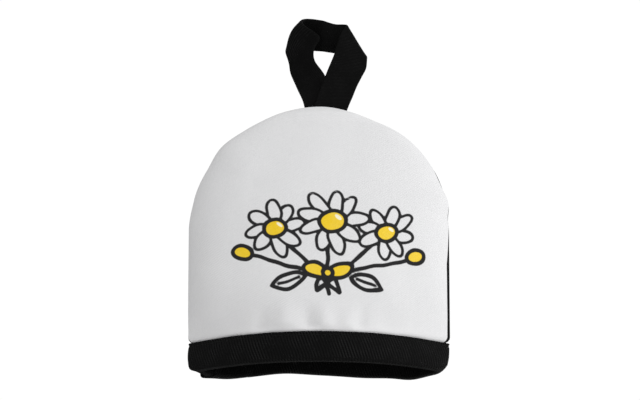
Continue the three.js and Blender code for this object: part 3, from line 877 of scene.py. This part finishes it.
def make_stitches(material):
    """A row of short raised threads round the binding: each a bead drawn out along the hem."""
    fine_angles, fine_run = even_ring(STITCH_STEPS)
    rings, sides = STITCH["rings"], STITCH["sides"]
    length = fine_run[-1] + fine_run[1]
    count = int(length / STITCH_PITCH)
    middle = np.arange(count) * length / count
    along = np.linspace(-1, 1, rings)
    round_it = np.linspace(0, 2 * math.pi, sides, endpoint=False)
    width = STITCH["thick"] * np.sqrt(np.clip(1 - along**4, 0.02, 1))
    place = middle[:, None, None] + along[None, :, None] * STITCH_PITCH * STITCH["half_length"]
    angle = np.interp(np.mod(place, length), fine_run, fine_angles, period=length)
    height = STITCH_HEIGHT + width[None, :, None] * np.sin(round_it)[None, None, :]
    raised = STITCH["raised"] + width[None, :, None] * np.cos(round_it)[None, None, :]
    base = BINDING_OUTSIDE - outside_swell(np.array(BINDING_OUTSIDE), np.array(STITCH_HEIGHT), place)
    points = dome(height + 0 * raised, 0.0, angle + 0 * raised, base - raised)
    bead = capped_grid(rings, sides)
    faces = (bead[None, :, :] + (np.arange(count) * rings * sides)[:, None, None]).reshape(-1, 4)
    return make_piece("hem_stitches", points, faces, material)


def roll_beyond(points, at, crease):
    """Rolls what lies beyond a crease towards +Y round the crease's radius, up to its turn."""
    lean, radius = crease["lean"], crease["radius"]
    along = np.array([math.sin(lean), 0, math.cos(lean)])
    beyond = np.array([math.cos(lean), 0, -math.sin(lean)])
    offset = points - at
    distance, through = offset @ beyond, offset[..., 1]
    angle = np.clip(distance / radius, 0, crease["turn"])
    rest = np.maximum(distance - radius * crease["turn"], 0) + np.minimum(distance, 0)
    out = radius * np.sin(angle) + rest * np.cos(angle) - through * np.sin(angle)
    back = radius * (1 - np.cos(angle)) + rest * np.sin(angle) + through * np.cos(angle)
    placed = at + (offset @ along)[..., None] * along + out[..., None] * beyond
    return placed + back[..., None] * np.array([0, 1, 0])


def loop_points(length, across, through):
    """A place of the tape, from its flat place, carried over both creases and shaped in its seam."""
    up = np.array([math.sin(LEG_LEAN), 0, math.cos(LEG_LEAN)])
    side = np.array([math.cos(LEG_LEAN), 0, -math.sin(LEG_LEAN)])
    shoulder = np.array([SHOULDER["x"], 0, SHOULDER["z"]])
    flat = shoulder + (length - RIGHT_LEG)[..., None] * up + across[..., None] * side
    flat[..., 1] = through
    roll = dict(LEFT_ROLL, lean=2 * SHOULDER["lean"] - LEFT_ROLL["lean"])
    points = roll_beyond(flat, shoulder + TOP_RUN * up, roll)
    points = roll_beyond(points, shoulder, SHOULDER)
    right = length < RIGHT_LEG + TOP_RUN / 2
    x, y, z = (points[..., axis].copy() for axis in range(3))
    low = np.clip((LEG_BEND["below"] - z) / LEG_BEND["span"], 0, 2) ** 2
    left = 1 - ease(x, CORNER_LIFT["full_x"], CORNER_LIFT["none_x"])
    gripped = 1 - ease(z, SEAM_GRIP["full"], SEAM_GRIP["none"])
    held_y = np.where(right, RIGHT_LEG_Y, LEFT_LEG_Y) + through
    points[..., 0] = x + np.where(right, LEG_BEND["right"], LEG_BEND["left"]) * low
    points[..., 1] = (y + RIGHT_LEG_Y) * (1 - gripped) + held_y * gripped + SEAM_Y
    points[..., 2] = z + CORNER_LIFT["rise"] * left * ease(z, CORNER_LIFT["start_z"], CORNER_LIFT["full_z"])
    x, z = points[..., 0].copy(), points[..., 2].copy()
    for give_x, give_z, reach, right_by, up_by in TAPE_GIVE:
        share = np.exp(-((x - give_x) ** 2 + (z - give_z) ** 2) / reach**2)
        points[..., 0] += right_by * share
        points[..., 2] += up_by * share
    x, z = points[..., 0], points[..., 2]
    square = length - across / math.tan(roll["lean"] - LEG_LEAN)
    outward = np.maximum(LEG_TURN["inner_x"] + LEG_TURN["lean"] * (z - LEG_TURN["at_z"]) - x, 0)
    turned = ease(square, *LEG_TURN_ALONG) * ease(z, LEG_TURN["none_z"], LEG_TURN["full_z"])
    points[..., 1] += LEG_TURN["amount"] * outward * turned
    on_run = ease(square, *RUN_FOLDS_START) * (1 - ease(square, *RUN_FOLDS_END))
    for fold_x, width, back in RUN_FOLDS:
        points[..., 1] += back * np.exp(-(((x - fold_x) / width) ** 2)) * on_run
    apart = (x - ROLL_SWELL["x"]) ** 2 + (z - ROLL_SWELL["z"]) ** 2
    share = np.exp(-apart / ROLL_SWELL["reach"] ** 2)
    share *= ease(square, ROLL_SWELL["start"], ROLL_SWELL["full"])
    points[..., 0] += ROLL_SWELL["right"] * share
    points[..., 2] += ROLL_SWELL["up"] * share
    return points


def loop_stations():
    """Lengths along the tape and the slants of its cross lines, which run along the creases."""
    unrolled = 2 * SHOULDER["lean"] - LEFT_ROLL["lean"]
    unrolled_end = math.pi / 2 - 2 * (SHOULDER["lean"] - unrolled)

    def slant(lean):
        return 1 / math.tan(lean - LEG_LEAN)

    def arc(crease, lean):
        return crease["radius"] * crease["turn"] / math.sin(LEG_LEAN - lean)

    roll_start = RIGHT_LEG + TOP_RUN
    keys = [
        (0.0, slant(math.pi / 2), 60),
        (RIGHT_LEG, slant(SHOULDER["lean"]), 24),
        (RIGHT_LEG + arc(SHOULDER, SHOULDER["lean"]), slant(SHOULDER["lean"]), 40),
        (roll_start, slant(unrolled), 48),
        (roll_start + arc(LEFT_ROLL, unrolled), slant(unrolled), 60),
        (roll_start + LEFT_LEG, slant(unrolled_end), 1),
    ]
    lengths, slants = [], []
    for (length, lean, steps), (next_length, next_lean, _) in zip(keys[:-1], keys[1:]):
        share = np.arange(steps) / steps
        lengths.append(length + (next_length - length) * share)
        slants.append(lean + (next_lean - lean) * share)
    lengths.append([keys[-1][0]])
    slants.append([keys[-1][1]])
    return np.concatenate(lengths), np.concatenate(slants)


def make_loop(material):
    """The tape's section, thin with round edges, carried along its stations."""
    lengths, slants = loop_stations()
    half, ply = LOOP_WIDTH / 2, LOOP_PLY / 2
    edge = quarter((half - ply, 0), ply, -90, 90, 7)[1:-1]
    top = straight((half - ply, ply), (-half + ply, ply), 22)
    face = np.concatenate([[[half - ply, ply]], top, [[-half + ply, ply]]])
    section = np.concatenate([edge, face, -edge, -face])
    across = section[None, :, 0] + 0 * lengths[:, None]
    length = lengths[:, None] + slants[:, None] * across
    selvedge = ease(np.abs(across), half - SELVEDGE["from_edge"], half - SELVEDGE["full_from_edge"])
    selvedge = SELVEDGE["thicker"] * selvedge
    ripple = RIPPLE["rise"] * np.sin(length / RIPPLE["length"] + RIPPLE["slant"] * across)
    ripple = ripple * ease(length, RIPPLE["start"], RIPPLE["full"])
    through = section[None, :, 1] * (1 + selvedge) + ripple
    points = loop_points(length, across, through)
    cloth = np.stack([across, length], axis=-1)
    return make_piece("folded_loop", points, capped_grid(*points.shape[:2]), material, cloth * MM)


# Dressing the frame

cotton = printed_cotton()
cloth_black = black_cotton()
band_tape = black_twill_tape("hem_twill_tape", 20, 1.15, 0.24, 0.0135)
loop_tape = black_twill_tape("loop_twill_tape", 68, 0.62, 0.10, 0.0085)

front = make_panel("front_cloth", False, 230, panel_levels(0.5, 0.5, 90), cotton)
back = make_panel("back_cloth", True, 180, panel_levels(0.9, 1.6, 60), cloth_black)
binding = make_binding(band_tape)
tape_end = make_lapped_end(band_tape)
stitches = make_stitches(black_thread())
loop = make_loop(loop_tape)

for piece, slot in (
    (front, "white_cloth"),
    (back, "black_cloth"),
    (binding, "black_tape"),
    (tape_end, "black_tape"),
    (stitches, "black_tape"),
    (loop, "loop_tape"),
):
    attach(piece, "root")

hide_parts("front_panel")
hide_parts("back_panel")
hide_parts("hem_band")
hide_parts("hanging_loop")

# Floor, light and camera

FLOOR_SIZE = 4.0
FLOOR_PASSES = 0.7
FLOOR_WHITE = (0.82, 0.82, 0.82, 1)
VIEW_MIDDLE = 0.45 * MM
VIEW_RISE = math.radians(-13.0)
VIEW_DISTANCE = 1.5
AIM_HEIGHT = 0.0732
PIXEL = 0.41 * MM
FRAME_PIXELS = 640
BRIGHT_SIDE = (0.86, -0.50, 0.06)
STUDIO = {"shown": 1.02, "dim": 0.44, "bright": 1.05}
KEY_LAMP = {"place": (1.7, -1.0, 0.45), "size": 0.9, "watts": 9}
LAMP_AIM = Vector((0, 0, 0.06))


def make_floor():
    """A plain pale floor. It shows from above alone, as the camera looks up from just below the hem,
    and is frosted: part of the studio's light comes up through it."""
    half = FLOOR_SIZE / 2
    mesh = bpy.data.meshes.new("floor")
    corners = [(-half, -half, 0), (half, -half, 0), (half, half, 0), (-half, half, 0)]
    mesh.from_pydata(corners, [], [(0, 1, 2, 3)])
    floor = bpy.data.objects.new("floor", mesh)
    bpy.context.collection.objects.link(floor)
    look = Finish("pale_floor", 0.9, 0.0, 0.1)
    look.shader.inputs["Base Color"].default_value = FLOOR_WHITE
    seen = look.add("ShaderNodeLightPath", "Is Camera Ray")
    frosted = look.ranged(seen, 0.0, 1.0, FLOOR_PASSES, 0.0)
    clear = look.work_out("MAXIMUM", look.add("ShaderNodeNewGeometry", "Backfacing"), frosted)
    through = look.add("ShaderNodeBsdfTransparent", "BSDF")
    look.end_with("Material Output", look.shader.outputs["BSDF"], through, clear)
    mesh.materials.append(look.material)


def make_world(shown, dim, bright):
    """A white studio: full white where it shows, and as light graded from a dim side, at the left
    behind the cosy, to a bright one, at the right in front of it."""
    world = bpy.data.worlds.new("studio")
    bpy.context.scene.world = world
    world.use_nodes = True
    steps = Steps(world.node_tree)
    light = steps.nodes["Background"]
    light.inputs["Color"].default_value = (1, 1, 1, 1)
    direction = steps.add("ShaderNodeTexCoord", "Generated")
    dot = {"operation": "DOT_PRODUCT"}
    towards = steps.add("ShaderNodeVectorMath", "Value", dot, n0=direction, n1=BRIGHT_SIDE)
    steps.links.new(steps.ranged(towards, -1.0, 1.0, dim, bright), light.inputs["Strength"])
    white = steps.add("ShaderNodeBackground", "Background", Color=(1, 1, 1, 1), Strength=shown)
    seen = steps.add("ShaderNodeLightPath", "Is Camera Ray")
    steps.end_with("World Output", light.outputs["Background"], white, seen)


def make_lamp(name, place, size, watts):
    """A square soft lamp that faces the cosy's middle."""
    lamp = bpy.data.lights.new(name, "AREA")
    lamp.size = size
    lamp.energy = watts
    holder = bpy.data.objects.new(name, lamp)
    bpy.context.collection.objects.link(holder)
    holder.location = place
    holder.rotation_euler = (LAMP_AIM - Vector(place)).to_track_quat("-Z", "Y").to_euler()


def make_camera():
    """A long lens at the photograph's viewing angle, aimed so that the cosy fills the same place."""
    ahead = Vector((0, math.cos(VIEW_RISE), -math.sin(VIEW_RISE)))
    foot = Vector((VIEW_MIDDLE, SEAM_Y * MM, 0))
    place = foot - ahead * VIEW_DISTANCE
    aim = Vector((VIEW_MIDDLE, SEAM_Y * MM, AIM_HEIGHT))
    data = bpy.data.cameras.new("camera")
    camera = bpy.data.objects.new("camera", data)
    bpy.context.collection.objects.link(camera)
    camera.location = place
    camera.rotation_euler = (aim - place).to_track_quat("-Z", "Y").to_euler()
    data.lens = data.sensor_width * VIEW_DISTANCE / (FRAME_PIXELS * PIXEL)
    data.clip_start = 0.01
    bpy.context.scene.camera = camera


make_camera()
make_floor()
make_world(STUDIO["shown"], STUDIO["dim"], STUDIO["bright"])
make_lamp("key_lamp", KEY_LAMP["place"], KEY_LAMP["size"], KEY_LAMP["watts"])
bpy.context.scene.view_settings.view_transform = "Standard"
